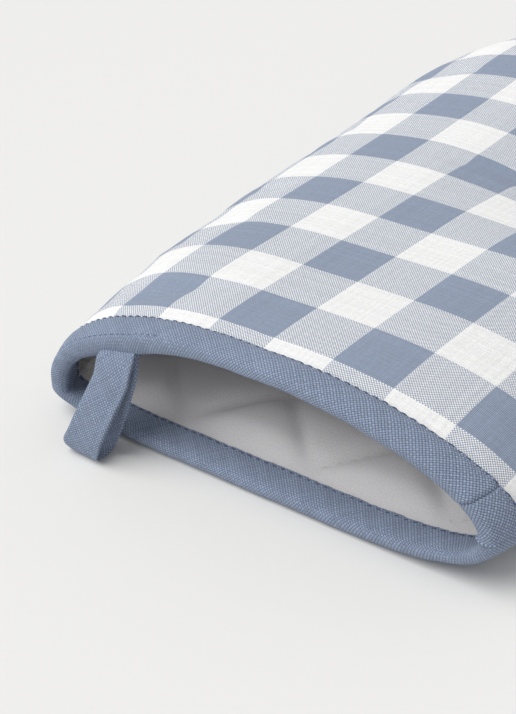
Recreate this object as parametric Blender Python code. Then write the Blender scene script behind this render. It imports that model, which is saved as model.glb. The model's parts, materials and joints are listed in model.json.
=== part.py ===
"""A padded gingham oven mitt lying palm down, in metres, with +Z up.

+Y runs from the cuff to the fingertips and the thumb is on the +X side. The origin lies under the
middle of the cuff's width, BALANCE behind the cuff's edge, on the flat underside of the palm.

Two bags are sewn from two panels each: the gingham shell and, inside it, the quilted lining. The
wadding lies between them. A bias binding closes the raw edges round the mouth, and a folded strip
of the same cloth hangs from the binding's underside as the hanging loop.
"""

import math

import bmesh
import bpy
import numpy as np
from mathutils import Matrix, Vector

MM = 0.001

# Plan of the shell seam, from the cuff's edge (y = 0 in these plan values) to the fingertips.
MOUTH_HALF = 79 * MM  # half the open mouth's width, narrower than the flat cuff because it gapes
BODY_LEFT = 95.5 * MM  # how far the flattened body reaches on the finger side
BODY_RIGHT = 94 * MM
FLARE_LENGTH = 38 * MM  # distance over which the gaping mouth widens into the flat body
TIP_CENTRE = (-34 * MM, 222 * MM)  # fingertip end, an ellipse
TIP_RADII = (61.5 * MM, 76 * MM)
THUMB_CENTRE = (98 * MM, 183 * MM)
THUMB_RADIUS = 30 * MM
THUMB_LEAN = math.radians(35)  # from +Y towards +X
CROTCH_RADIUS = 10 * MM
ARMPIT_RADIUS = 45 * MM  # bend where the cuff's side turns out along the thumb
LEAD_IN = 70 * MM  # the panels are cut from a shape that runs on past the mouth
BALANCE = 73 * MM

# Height of the padded body.
SEAM_HEIGHT = 12 * MM
THUMB_SIDE_LIFT = 7 * MM  # the thumb-side corner of the mouth stands higher
LIFT_LENGTH = 60 * MM
BODY_HEIGHT = 25 * MM
MOUTH_RISE = 17.5 * MM  # extra height of the gaping mouth
RISE_LENGTH = 125 * MM
BACK_ROUNDING = 65 * MM  # how far in from the seam the back goes on curving
PALM_ROUNDING = 48 * MM
CUFF_CLEARANCE = 1.4 * MM  # the binding lifts the palm off the table at the cuff
CLEARANCE_END = 45 * MM

# Layers, from the outside in.
CLOTH = 0.8 * MM
WADDING = 2.9 * MM
LAYER_GAP = 0.6 * MM
SEAM_GAP = 0.15 * MM  # from each panel to the seam's plane
RIM = 0.6 * MM  # thickness of a panel's edge
CHANNEL = 1.05 * MM  # space for the seam thread between two layers' edges
THREAD_RADIUS = 0.25 * MM
PART_GAP = 0.3 * MM
EDGE_SNAP = 0.15 * MM  # points this near a layer's edge count as on it

# Mesh rings parallel to the seam, and the straight cuts across the middle of a panel.
DEEP_RINGS = (12 * MM, 22 * MM)
CUT_PITCH = 26 * MM

# Binding round the mouth.
LINING_BULGE = 1.7 * MM  # how far the lining's flat faces can stand into the hollow
BINDING_WIDTH = 11 * MM
BINDING_NOSE = 1.8 * MM
MOUTH_STATIONS = 40

# Quilting of the lining.
QUILT_PITCH = 34 * MM
QUILT_OFFSET = (10 * MM, 12 * MM)
QUILT_THREAD = 0.5 * MM
QUILT_CLEARANCE = 2.3 * MM
QUILT_MARGIN = 3 * MM  # from the net's ends to the lining's seam

# Hanging loop: a strip whose middle line hangs from a round fold over the line that it swings about.
LOOP_ROOT = Vector((-47.3 * MM, -2.6 * MM, 26.9 * MM))
LOOP_WIDTH = 11.5 * MM
LOOP_THICKNESS = 1.6 * MM
LOOP_SIDE_LEAN = 0.36  # sideways towards the finger side for each metre down
LOOP_DROP = (  # (y, z) from the root: over the fold, down the front leg, round the tip, up the rear
    (0.2, 1.6), (-1.2, 1.1), (-3.2, -1.9), (-6.4, -6.3), (-9.2, -11.7), (-11.5, -17.5),
    (-12.6, -22.5), (-11.9, -25.3), (-9.4, -25.7), (-6.2, -24.9), (-3.6, -22.3), (-2.1, -18.1),
    (-1.4, -12.9), (-0.5, -6.9), (0.7, -1.9), (1.55, -0.3), (1.3, 0.95),
)
LOOP_STITCH_INSET = 2 * MM

SLATE = (0.175, 0.245, 0.365)
OFF_WHITE = (0.84, 0.82, 0.78)
LIGHT_BLUE = (0.50, 0.57, 0.67)
NAVY = (0.10, 0.14, 0.22)


# ---------------------------------------------------------------- plan shape


def arc(centre, radii, start, end, steps):
    """Points of an elliptical arc between two angles in degrees, both ends included."""
    turns = [math.radians(start + (end - start) * i / steps) for i in range(steps + 1)]
    return [(centre[0] + radii[0] * math.cos(a), centre[1] + radii[1] * math.sin(a)) for a in turns]


def flare(y, body):
    """Half width of the body at a distance from the cuff's edge."""
    narrowing = body - MOUTH_HALF
    if y < 0:
        return MOUTH_HALF + narrowing * y / FLARE_LENGTH
    return body - narrowing * math.exp(-y / FLARE_LENGTH)


def seam_plan():
    """The shell seam from the cuff up the finger side, round fingertips and thumb, and back."""
    rows = [row * MM for row in (0, 12, 30, 56, 92)]
    left = [(-flare(-LEAD_IN, BODY_LEFT), -LEAD_IN)] + [(-flare(y, BODY_LEFT), y) for y in rows]
    left += [(-BODY_LEFT, 138 * MM), (-BODY_LEFT, 180 * MM)]
    tips = arc(TIP_CENTRE, TIP_RADII, 180, 0, 10)

    along = Vector((math.sin(THUMB_LEAN), math.cos(THUMB_LEAN)))
    across = Vector((along.y, -along.x))
    inner = Vector(THUMB_CENTRE) - THUMB_RADIUS * across
    outer = Vector(THUMB_CENTRE) + THUMB_RADIUS * across
    finger_side = TIP_CENTRE[0] + TIP_RADII[0]
    corner = inner - along * ((inner.x - finger_side) / along.x)
    bisector = (Vector((0, 1)) + along).normalized()
    crotch_centre = corner + bisector * (CROTCH_RADIUS / math.sin(THUMB_LEAN / 2))
    lean = math.degrees(THUMB_LEAN)
    crotch = arc(crotch_centre, (CROTCH_RADIUS,) * 2, 180, 360 - lean, 6)
    thumb = arc(THUMB_CENTRE, (THUMB_RADIUS,) * 2, 180 - lean, -lean, 6)

    armpit = outer - along * ((outer.x - BODY_RIGHT) / along.x)
    tangent = ARMPIT_RADIUS * math.tan(THUMB_LEAN / 2)
    bend_centre = (BODY_RIGHT + ARMPIT_RADIUS, armpit.y - tangent)
    bend = arc(bend_centre, (ARMPIT_RADIUS,) * 2, 180 - lean, 180, 3)
    right = [(flare(y, BODY_RIGHT), y) for y in reversed(rows)]
    right += [(flare(-LEAD_IN, BODY_RIGHT), -LEAD_IN)]
    return np.array(left + tips + crotch + thumb + bend + right)


PLAN = seam_plan()


def inset_plan(inset):
    """The plan shape moved inwards, point for point."""
    ahead = np.roll(PLAN, -1, axis=0) - PLAN
    ahead[-1] = ahead[-2]
    behind = PLAN - np.roll(PLAN, 1, axis=0)
    behind[0] = behind[1]
    normals = []
    for a, b in zip(behind, ahead):
        one = Vector((a[1], -a[0])).normalized()
        two = Vector((b[1], -b[0])).normalized()
        middle = (one + two).normalized()
        normals.append(middle / max(middle.dot(one), 0.5))
    return PLAN + inset * np.array(normals)


def seam_distance(x, y):
    """Distance from a plan point in to the seam, negative outside it."""
    starts, ends = PLAN[:-1], PLAN[1:]
    legs = ends - starts
    point = np.array((x, y))
    share = np.clip(((point - starts) * legs).sum(1) / (legs**2).sum(1), 0, 1)
    away = point - starts - share[:, None] * legs
    distances = np.hypot(away[:, 0], away[:, 1])
    nearest = int(distances.argmin())
    leg, offset = legs[nearest], away[nearest]
    side = leg[0] * offset[1] - leg[1] * offset[0]
    return float(distances[nearest]) * (1 if side <= 0 else -1)


# ---------------------------------------------------------------- heights


def fade(value, end):
    """1 at zero and below, falling smoothly to 0 at end."""
    share = min(max(value / end, 0.0), 1.0)
    return 0.5 + 0.5 * math.cos(math.pi * share)


def seam_height(x, y):
    corner = min(max(x / MOUTH_HALF, 0.0), 1.0) ** 2
    return SEAM_HEIGHT + THUMB_SIDE_LIFT * corner * math.exp(-((y / LIFT_LENGTH) ** 2))


def dome(distance, rounding):
    """0 on the seam, 1 beyond the rounding, with the shape of a quarter ellipse."""
    if distance < EDGE_SNAP:
        return 0.0
    share = min(distance / rounding, 1.0)
    return math.sqrt(1 - (1 - share) ** 2)


def back_height(x, y, inset, depth):
    """Height of a back surface that lies inset from the seam and depth below the outside."""
    base = seam_height(x, y) + SEAM_GAP + RIM
    crown = BODY_HEIGHT + MOUTH_RISE * math.exp(-((max(y, 0) / RISE_LENGTH) ** 1.6))
    rise = dome(seam_distance(x, y) - inset, BACK_ROUNDING - inset)
    return base + (crown - depth - base) * rise


def palm_height(x, y, inset, depth):
    """Height of a palm surface that lies inset from the seam and depth above the outside."""
    base = seam_height(x, y) - SEAM_GAP - RIM
    ground = CUFF_CLEARANCE * fade(y - BINDING_WIDTH, CLEARANCE_END - BINDING_WIDTH)
    fall = dome(seam_distance(x, y) - inset, PALM_ROUNDING - inset)
    return base - (base - depth - ground) * fall


# Each level is a surface: how far its edge is inset from the seam, and its depth under the outside.
OUTSIDE = (0.0, 0.0)
WADDING_OUT = (CLOTH + CHANNEL, CLOTH + LAYER_GAP)
LINING_OUT = (WADDING_OUT[0] + WADDING + CHANNEL, WADDING_OUT[1] + WADDING + LAYER_GAP)
HOLLOW = (LINING_OUT[0] + CLOTH, LINING_OUT[1] + CLOTH)
LEVELS = (OUTSIDE, WADDING_OUT, LINING_OUT, HOLLOW)
THICKNESS = (CLOTH, WADDING, CLOTH)


# ---------------------------------------------------------------- building


def finish(name, bm, colour, roughness):
    """Turns a bmesh into a named, smooth-shaded object with its own material."""
    for vertex in bm.verts:
        vertex.co.y -= BALANCE
    bmesh.ops.recalc_face_normals(bm, faces=bm.faces)
    mesh = bpy.data.meshes.new(name)
    bm.to_mesh(mesh)
    bm.free()
    mesh.shade_smooth()
    mesh.set_sharp_from_angle(angle=math.radians(40))
    material = bpy.data.materials.new(name + "_cloth")
    material.use_nodes = True
    shader = material.node_tree.nodes["Principled BSDF"]
    shader.inputs["Base Color"].default_value = (*colour, 1)
    shader.inputs["Roughness"].default_value = roughness
    mesh.materials.append(material)
    made = bpy.data.objects.new(name, mesh)
    bpy.context.scene.collection.objects.link(made)
    return made


def flat_panel(inset, rings):
    """A flat sheet inside the seam, with mesh rings at the given insets, cut square at the mouth."""
    bm = bmesh.new()
    outline = [bm.verts.new((x, y, 0)) for x, y in inset_plan(inset)]
    middle = [bm.faces.new(outline)]
    bm.normal_update()
    reached = inset
    for ring in rings:
        bmesh.ops.inset_region(
            bm, faces=middle, thickness=ring - reached, use_boundary=True, use_even_offset=True
        )
        reached = ring
    for axis in (0, 1):
        normal = Vector((axis == 0, axis == 1, 0))
        low, high = PLAN[:, axis].min(), PLAN[:, axis].max()
        for step in range(math.ceil(low / CUT_PITCH) + 1, math.floor(high / CUT_PITCH)):
            cut(bm, normal * (step + 0.5) * CUT_PITCH, normal)
    cut(bm, (0, 0, 0), (0, 1, 0), clear_inner=True)
    bmesh.ops.triangulate(bm, faces=bm.faces, quad_method="FIXED")
    return bm


def panel(name, height, level, colour, roughness):
    """One layer of the back or the palm: its own surface, and an inner one that clears the next."""
    outer, inner = LEVELS[level], LEVELS[level + 1]
    innermost = level == len(LEVELS) - 2
    flange = outer[0] + THICKNESS[level]
    ledge = inner[0] - PART_GAP
    rings = [flange] if innermost else [flange, ledge, inner[0] + THICKNESS[level + 1]]
    rings += DEEP_RINGS
    gap = 0 if innermost else LAYER_GAP
    bm = flat_panel(outer[0], rings)
    upwards = 1 if height is back_height else -1
    made = bmesh.ops.extrude_face_region(bm, geom=bm.faces[:])
    outside = {item for item in made["geom"] if isinstance(item, bmesh.types.BMVert)}
    tolerance = 0.05 * MM
    for vertex in bm.verts:
        x, y, _ = vertex.co
        depth = seam_distance(x, y)
        seam = seam_height(x, y)
        if vertex in outside:
            vertex.co.z = height(x, y, *outer)
        elif depth < flange + tolerance:
            vertex.co.z = seam + upwards * SEAM_GAP
        else:
            vertex.co.z = height(x, y, *inner) + upwards * gap
    return finish(name, bm, colour, roughness)


def tube(name, path, radius, sides, colour, closed):
    """A thread: a round tube along a path of points, closed into a ring or capped at its ends."""
    bm = bmesh.new()
    count = len(path)
    rings = []
    for i, point in enumerate(path):
        before = path[i - 1] if closed or i else point
        after = path[(i + 1) % count] if closed or i < count - 1 else point
        along = (after - before).normalized()
        side = along.cross(Vector((0, 0, 1)) if abs(along.z) < 0.9 else Vector((0, 1, 0))).normalized()
        up = side.cross(along)
        turns = [2 * math.pi * k / sides for k in range(sides)]
        ring = [bm.verts.new(point + radius * (math.cos(t) * side + math.sin(t) * up)) for t in turns]
        rings.append(ring)
    for i in range(count if closed else count - 1):
        one, two = rings[i], rings[(i + 1) % count]
        for k in range(sides):
            bm.faces.new((one[k], one[(k + 1) % sides], two[(k + 1) % sides], two[k]))
    if not closed:
        bm.faces.new(rings[0])
        bm.faces.new(rings[-1])
    return finish(name, bm, colour, 0.7)


def seam_thread(name, inset):
    """The seam's thread, in the channel between two layers' edges, from mouth round to mouth."""
    points = [Vector((x, y, seam_height(x, y))) for x, y in inset_plan(inset)]
    inside = [p for p in points if p.y > BINDING_WIDTH]
    return tube(name, inside, THREAD_RADIUS, 4, OFF_WHITE, closed=False)


def mouth_edge(y, inset, side):
    """X of the seam, moved in by inset, on the finger side (-1) or the thumb side (+1)."""
    points = inset_plan(inset)
    rows = points[: len(points) // 3] if side < 0 else points[::-1][: len(points) // 3]
    rows = rows[np.argsort(rows[:, 1])]
    return float(np.interp(y, rows[:, 1], rows[:, 0]))


def mouth_point(turn, y, level):
    """A point of the closed mouth section at a surface level: turn 0 is the thumb side, pi/2 the top."""
    left, right = mouth_edge(y, level[0], -1), mouth_edge(y, level[0], +1)
    x = (left + right) / 2 + (right - left) / 2 * math.cos(turn)
    height = back_height if turn < math.pi else palm_height
    return Vector((x, y, height(x, y, *level)))


def mouth_turns():
    """Evenly spaced turns that skip the two points where back and palm meet."""
    return [2 * math.pi * (i + 0.5) / MOUTH_STATIONS for i in range(MOUTH_STATIONS)]


def top_share(turn):
    """1 over the top of the mouth, 0 underneath, where the binding is pressed flat."""
    return 0.5 + 0.5 * math.sin(turn)


def grown(level, amount):
    return (level[0] - amount, level[1] - amount)


def binding_section(turn):
    """The binding's folded section at one turn, as points in order round its outline."""
    puff = top_share(turn)

    def outside(y, thin, thick):
        return mouth_point(turn, y * MM, grown(OUTSIDE, (thin + (thick - thin) * puff) * MM))

    def inside(y, thickness):
        return mouth_point(turn, y * MM, grown(HOLLOW, -LINING_BULGE - thickness * MM))

    rear = BINDING_WIDTH / MM
    nose_out, nose_in = outside(0.5, 1.2, 1.9), inside(0.5, 0.7)
    forward = Vector((0, -BINDING_NOSE - 0.5 * MM, 0))
    nose = [nose_out.lerp(nose_in, share) + forward for share in (0.25, 0.75)]
    skin = [outside(rear, 0.8, 1.2), outside(8, 1.3, 2.3), outside(4, 1.35, 2.5), nose_out]
    skin += nose + [nose_in, inside(4, 0.9), inside(rear, 0.7)]
    fold = [inside(rear, 0), inside(-0.4, 0), outside(-0.4, 0.3, 0.3), outside(rear, 0.3, 0.3)]
    return skin + fold


def cuff_binding():
    """A bias strip folded over all the layers' raw edges, all the way round the mouth."""
    bm = bmesh.new()
    rings = [[bm.verts.new(p) for p in binding_section(turn)] for turn in mouth_turns()]
    for i, ring in enumerate(rings):
        following = rings[(i + 1) % len(rings)]
        for k in range(len(ring)):
            after = (k + 1) % len(ring)
            bm.faces.new((ring[k], ring[after], following[after], following[k]))
    return finish("cuff_binding", bm, SLATE, 0.85)


def mouth_thread(name, level, towards_hollow):
    """A row of stitching round the mouth, just behind the binding's edge."""
    clear = PART_GAP + THREAD_RADIUS
    ring = grown(level, -LINING_BULGE - clear if towards_hollow else clear)
    y = BINDING_WIDTH + clear + 0.1 * MM
    path = [mouth_point(turn, y, ring) for turn in mouth_turns()]
    return tube(name, path, THREAD_RADIUS, 4, NAVY, closed=True)


def quilting(name, height):
    """The quilting threads as one diamond net that lies just off the lining's inner face."""
    level = (HOLLOW[0] + QUILT_CLEARANCE, HOLLOW[1] + QUILT_CLEARANCE)
    bm = bmesh.new()
    bm.faces.new([bm.verts.new((x, y, 0)) for x, y in inset_plan(level[0] + QUILT_MARGIN)])
    bm.normal_update()
    cut(bm, (0, 2 * BINDING_WIDTH, 0), (0, 1, 0), clear_inner=True)
    for side in (-1, 1):
        normal = Vector((1, side, 0)).normalized()
        for step in range(-9, 10):
            cut(bm, Vector((*QUILT_OFFSET, 0)) + normal * step * QUILT_PITCH, normal)
    long_runs = [edge for edge in bm.edges if edge.calc_length() > QUILT_PITCH / 2]
    bmesh.ops.bisect_edges(bm, edges=long_runs, cuts=1)
    rim = {vertex for edge in bm.edges if edge.is_boundary for vertex in edge.verts}
    cells = bm.faces[:]
    bmesh.ops.inset_individual(bm, faces=cells, thickness=QUILT_THREAD / 2, use_even_offset=True)
    along_rim = [e.link_faces[0] for e in bm.edges if e.is_boundary and rim.issuperset(e.verts)]
    bmesh.ops.delete(bm, geom=cells + along_rim, context="FACES")
    drop_loose_ends(bm)
    for vertex in bm.verts:
        vertex.co.z = height(vertex.co.x, vertex.co.y, *level)
    thread = bmesh.ops.extrude_face_region(bm, geom=bm.faces[:])["geom"]
    raised = [item for item in thread if isinstance(item, bmesh.types.BMVert)]
    bmesh.ops.translate(bm, vec=(0, 0, QUILT_THREAD), verts=raised)
    return finish(name, bm, OFF_WHITE, 0.7)


def drop_loose_ends(bm):
    """Keeps the largest connected piece of a sheet: a short line across a corner holds nothing."""
    left = set(bm.faces)
    pieces = []
    while left:
        piece, front = set(), [left.pop()]
        while front:
            face = front.pop()
            piece.add(face)
            near = {other for edge in face.edges for other in edge.link_faces} & left
            left -= near
            front += near
        pieces.append(piece)
    pieces.sort(key=len)
    spare = [face for piece in pieces[:-1] for face in piece]
    bmesh.ops.delete(bm, geom=spare, context="FACES")


def cut(bm, place, normal, clear_inner=False):
    """A straight cut across a flat sheet, which can drop the side behind the normal."""
    geometry = bm.verts[:] + bm.edges[:] + bm.faces[:]
    snap = 1e-5 if clear_inner else 1e-3
    bmesh.ops.bisect_plane(
        bm, geom=geometry, dist=snap, plane_co=place, plane_no=normal, clear_inner=clear_inner
    )


# ---------------------------------------------------------------- hanging loop


def drop_line():
    """The loop's middle line as (y, z) pairs, smoothed between its own points."""
    ring = [Vector(p) * MM for p in LOOP_DROP]
    count = len(ring)
    line = []
    for i in range(count):
        a, b, c, d = (ring[(i + k - 1) % count] for k in range(4))
        for share in (0.0, 0.5):
            line.append(
                0.5 * ((2 * b) + (c - a) * share + (2 * a - 5 * b + 4 * c - d) * share**2
                       + (3 * b - a - 3 * c + d) * share**3)
            )
    return line


def drop_offset(line, amount):
    """The middle line moved outwards by amount."""
    count = len(line)
    moved = []
    for i, point in enumerate(line):
        along = (line[(i + 1) % count] - line[i - 1]).normalized()
        moved.append(point + amount * Vector((along.y, -along.x)))
    return moved


def loop_place(pair, across):
    """A point of the loop from its (y, z) pair and its place across the strip."""
    return LOOP_ROOT + Vector((across + LOOP_SIDE_LEAN * pair.y, pair.x, pair.y))


def hanging_loop():
    line = drop_line()
    faces = [drop_offset(line, share * LOOP_THICKNESS) for share in (0.5, -0.5)]
    bm = bmesh.new()
    rings = []
    for pairs, across in ((faces[0], -1), (faces[0], 1), (faces[1], 1), (faces[1], -1)):
        rings.append([bm.verts.new(loop_place(p, across * LOOP_WIDTH / 2)) for p in pairs])
    for k in range(4):
        one, two = rings[k], rings[(k + 1) % 4]
        for i in range(len(line)):
            after = (i + 1) % len(line)
            bm.faces.new((one[i], one[after], two[after], two[i]))
    return hang_from_root(finish("hanging_loop", bm, SLATE, 0.85))


def hang_from_root(made):
    """Puts an object's origin on the line that the loop swings about, without moving its shape."""
    root = LOOP_ROOT - Vector((0, BALANCE, 0))
    made.data.transform(Matrix.Translation(-root))
    made.location = root
    return made


def loop_edge_stitch():
    """Stitching down the front leg, near its thumb-side edge."""
    line = drop_line()
    clear = LOOP_THICKNESS / 2 + PART_GAP + THREAD_RADIUS
    outwards = drop_offset(line, -clear)
    inwards = drop_offset(line, clear)
    front = min(outwards, key=lambda p: p.x)
    face = outwards if front.x < min(inwards, key=lambda p: p.x).x else inwards
    across = LOOP_WIDTH / 2 - LOOP_STITCH_INSET
    path = [loop_place(p, across) for p in face[4:14]]
    return hang_from_root(tube("loop_edge_stitch", path, THREAD_RADIUS, 4, NAVY, closed=False))


def loop_tack_stitch():
    """The bar of stitches across the binding that holds the loop's ends under it."""
    clear = 2.5 * MM + PART_GAP + THREAD_RADIUS
    turns = [math.radians(118 + 4 * i) for i in range(5)]
    path = [mouth_point(turn, 4 * MM, grown(OUTSIDE, clear)) for turn in turns]
    return tube("loop_tack_stitch", path, THREAD_RADIUS, 4, NAVY, closed=False)


# ---------------------------------------------------------------- the mitt


def build():
    for old in list(bpy.data.objects):
        bpy.data.objects.remove(old, do_unlink=True)

    for side, height in (("back", back_height), ("palm", palm_height)):
        panel(f"{side}_shell", height, 0, LIGHT_BLUE, 0.85)
        panel(f"{side}_wadding", height, 1, OFF_WHITE, 0.95)
        panel(f"{side}_lining", height, 2, OFF_WHITE, 0.9)
        quilting(f"{side}_quilting_thread", height)

    seam_thread("shell_seam_thread", CLOTH + CHANNEL / 2)
    seam_thread("lining_seam_thread", WADDING_OUT[0] + WADDING + CHANNEL / 2)
    cuff_binding()
    mouth_thread("binding_topstitch", OUTSIDE, False)
    mouth_thread("binding_inner_stitch", HOLLOW, True)
    hanging_loop()
    loop_edge_stitch()
    loop_tack_stitch()


build()
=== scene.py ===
"""Looks of a padded oven mitt lying palm down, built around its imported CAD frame.

A gingham shell, its wadding and a diamond-quilted lining are bound round the cuff with a bias
strip, under which a folded strip of the same cloth hangs as the loop. Lengths are in metres.
+Y runs from the cuff to the fingertips, +Z up, and the thumb is on the +X side. Plan values
count y from the cuff's edge, and the finished pieces are moved back into the frame by CUFF_Y.
"""

import json
import math

import bmesh
import bpy
import numpy as np
from bpy.props import FloatProperty, FloatVectorProperty, PointerProperty
from mathutils import Matrix, Vector, noise


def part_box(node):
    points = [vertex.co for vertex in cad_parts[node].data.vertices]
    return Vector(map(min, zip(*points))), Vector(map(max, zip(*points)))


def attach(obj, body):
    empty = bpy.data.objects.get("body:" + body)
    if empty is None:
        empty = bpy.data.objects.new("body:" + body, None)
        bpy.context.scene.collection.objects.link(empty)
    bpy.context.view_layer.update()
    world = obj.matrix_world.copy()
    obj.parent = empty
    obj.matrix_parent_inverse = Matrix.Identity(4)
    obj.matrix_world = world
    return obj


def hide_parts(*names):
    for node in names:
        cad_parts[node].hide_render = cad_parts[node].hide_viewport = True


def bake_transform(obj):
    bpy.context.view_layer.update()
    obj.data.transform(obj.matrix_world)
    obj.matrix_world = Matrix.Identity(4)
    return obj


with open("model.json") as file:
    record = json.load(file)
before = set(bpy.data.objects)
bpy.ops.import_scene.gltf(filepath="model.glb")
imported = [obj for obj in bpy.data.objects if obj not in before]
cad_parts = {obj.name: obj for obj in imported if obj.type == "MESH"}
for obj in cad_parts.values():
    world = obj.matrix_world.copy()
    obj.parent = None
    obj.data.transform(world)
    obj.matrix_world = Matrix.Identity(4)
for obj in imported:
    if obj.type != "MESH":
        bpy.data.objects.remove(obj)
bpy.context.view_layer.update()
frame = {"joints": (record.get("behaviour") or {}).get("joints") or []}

bl_info = {
    "name": "Gingham oven mitt",
    "version": (1, 0, 0),
    "blender": (4, 5, 0),
    "location": "3D View > Sidebar > Mitt",
    "description": "Sews the shell, lining, binding and hanging loop of a padded oven mitt",
    "category": "Add Mesh",
}

MM = 0.001
SHELL_LOW, SHELL_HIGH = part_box("back_shell")
CUFF_Y = SHELL_LOW.y
SWING = Vector(frame["joints"][0]["pos_m"]) - Vector((0, CUFF_Y, 0))

# Plan of the shell's seam.
MOUTH_HALF = 79.2 * MM
BODY_LEFT = -SHELL_LOW.x
BODY_RIGHT = 94 * MM
FLARE_LENGTH = 38 * MM
TIP_RADII = (61.5 * MM, 76 * MM)
TIP_CENTRE = (TIP_RADII[0] - BODY_LEFT, SHELL_HIGH.y - CUFF_Y - TIP_RADII[1])
THUMB_CENTRE = (98 * MM, 183 * MM)
THUMB_RADIUS = 30 * MM
THUMB_LEAN = math.radians(35)
CROTCH_RADIUS = 10 * MM
ARMPIT_RADIUS = 45 * MM
LEAD_IN = 70 * MM

# Height of the padded body.
SEAM_HEIGHT = 9.2 * MM
THUMB_SIDE_LIFT = 8.8 * MM
LIFT_LENGTH = 60 * MM
BODY_HEIGHT = 29.2 * MM
MOUTH_RISE = 16.5 * MM
RISE_LENGTH = 118 * MM
BACK_ROUNDING = 68 * MM
PALM_ROUNDING = 48 * MM
CUFF_CLEARANCE = 1.4 * MM
CLEARANCE_END = 45 * MM
SEAM_GAP = 0.15 * MM
TABLE_GAP = 0.2 * MM
BACK, PALM = 1, -1
FLOOR_REACH = 25.0

# Each surface is a level: how far its edge is inset from the seam, and its depth under the outside.
OUTSIDE = (0.0, 0.0)
WADDING_OUT = (2.0 * MM, 1.5 * MM)
HOLLOW = (6.6 * MM, 5.7 * MM)
CLOTH = 0.7 * MM
WADDING = 2.6 * MM
PRESSED = 0.5

# Where a dyed column and a dyed row of the gingham start in the flat cloth.
COLUMN_START = -60.6 * MM
ROW_START = 14.3 * MM

# Hanging loop: its middle line as (y, z) in millimetres from the line that it swings about.
LOOP_LINE = (
    (9.0, 8.4), (6.0, 8.1), (3.4, 7.6), (1.4, 6.9), (-0.6, 5.4), (-2.3, 3.0), (-4.1, -0.6),
    (-6.4, -5.4), (-9.0, -11.2), (-11.3, -17.2), (-12.5, -22.2), (-12.1, -24.9), (-10.2, -25.7),
    (-7.4, -25.5), (-4.7, -23.7), (-2.9, -19.2), (-1.7, -12.2), (-0.6, -4.4), (0.7, 1.6),
    (2.8, 5.0), (5.4, 6.2), (9.0, 6.8),
)
LOOP_LEAN = 0.36
LOOP_ROLL = 0.3

# Binding: turns round the mouth, from the thumb side over the top, and its parts.
LOOP_TURN = math.radians(131)  # where the loop's ends thicken the upper binding
LOOP_TURN_REACH = math.radians(21)
LOOP_ENDS = 3.6 * MM  # how much the loop's ends thicken it
JOIN_TURN = math.radians(24)  # where the strip's two ends are joined
TUCK_TURN = math.radians(-1)
TACK_TURNS = (math.radians(112), math.radians(172))
TACK_PITCH = 2.6 * MM
BINDING_STATIONS = 430
BINDING_POINTS = 46
LOOP_STATIONS = 132
SKIN_WAVE = 0.16 * MM
DRAG_FOLDS = 0.26 * MM
STITCH_PULLS = (0.17 * MM, 0.15 * MM)  # on the shell's side, on the lining's side
JOIN_GROOVE = 0.9 * MM
JOIN_STEP = 0.3 * MM
TUCK_FOLD = 1.3 * MM
TUCK_RIDGE = 0.7 * MM

# Liveliness of the cloth.
SEAM_PUCKER = 0.55 * MM
BINDING_DRAG = 0.3 * MM
PANEL_WAVE = 0.35 * MM
LINING_CREASE = 0.22 * MM
WADDING_LUMPS = 0.15 * MM
FILL_FRAMES = 20

# Quilting and seam stitches.
QUILT_MIDDLE = (10 * MM, 12 * MM)  # a crossing of the quilting lines
QUILT_LINES = 9  # lines on each side of the crossing
VALLEY_WIDTH = 3.2 * MM
QUILT_STITCH_PITCH = 4.2 * MM
SEAM_STITCH_PITCH = 3.0 * MM

# Radii of the threads.
BINDING_THREAD = QUILTING_THREAD = 0.26 * MM
SEAM_THREAD = 0.2 * MM
LOOP_THREAD = 0.19 * MM
TACK_THREAD = 0.17 * MM

# Camera and light.
CAMERA_PLACE = (0.2505, -0.3542, 0.3069)
CAMERA_TURN = (55.32, 4.9, 37.74)  # degrees
CAMERA_LENS = 84.4
SKY_STRENGTH = 0.46
KEY_FROM = (-0.45, -0.4, 1.0)
KEY_ANGLE = math.radians(60)
KEY_STRENGTH = 2.2


def setting(name, description, default, **more):
    """A length that a user may change."""
    return FloatProperty(name=name, description=description, default=default,
                         subtype="DISTANCE", unit="LENGTH", precision=4, **more)


def dye(name, description, colour):
    """A colour that a user may change."""
    return FloatVectorProperty(name=name, description=description, default=colour,
                               subtype="COLOR", size=3, min=0, max=1)


class MittSizes(bpy.types.PropertyGroup):
    """Sizes that can be changed without a new pattern."""

    check: setting("Check", "Side of one gingham check", 20 * MM, min=4 * MM)
    thread: setting("Gingham thread", "Distance between the gingham's threads", 0.46 * MM)
    bias_thread: setting("Binding thread", "Distance between the binding's threads", 0.78 * MM)
    mesh: setting("Cloth mesh", "Side of the cloth mesh before it is subdivided", 3.4 * MM)
    swell: setting("Swell", "How far the padding may push the shell out", 0.9 * MM)
    pressure: FloatProperty(name="Pressure", description="Pressure that fills the shell",
                            default=4.0, min=0)
    binding_width: setting("Binding width", "Width of the binding on the shell", 8.8 * MM)
    binding_nose: setting("Binding nose", "How far the binding stands before the cuff", 2.3 * MM)
    quilt_pitch: setting("Quilting", "Distance between the lining's quilting lines", 34 * MM)
    quilt_puff: setting("Quilt puff", "How far the lining stands up between its lines", 3.4 * MM)
    stitch: setting("Stitch", "Length of one machine stitch with its gap", 3.1 * MM)
    loop_width: setting("Loop width", "Width of the loop's folded strip", 13.5 * MM)
    loop_thickness: setting("Loop thickness", "Thickness of the loop's folded strip", 1.5 * MM)


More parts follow.
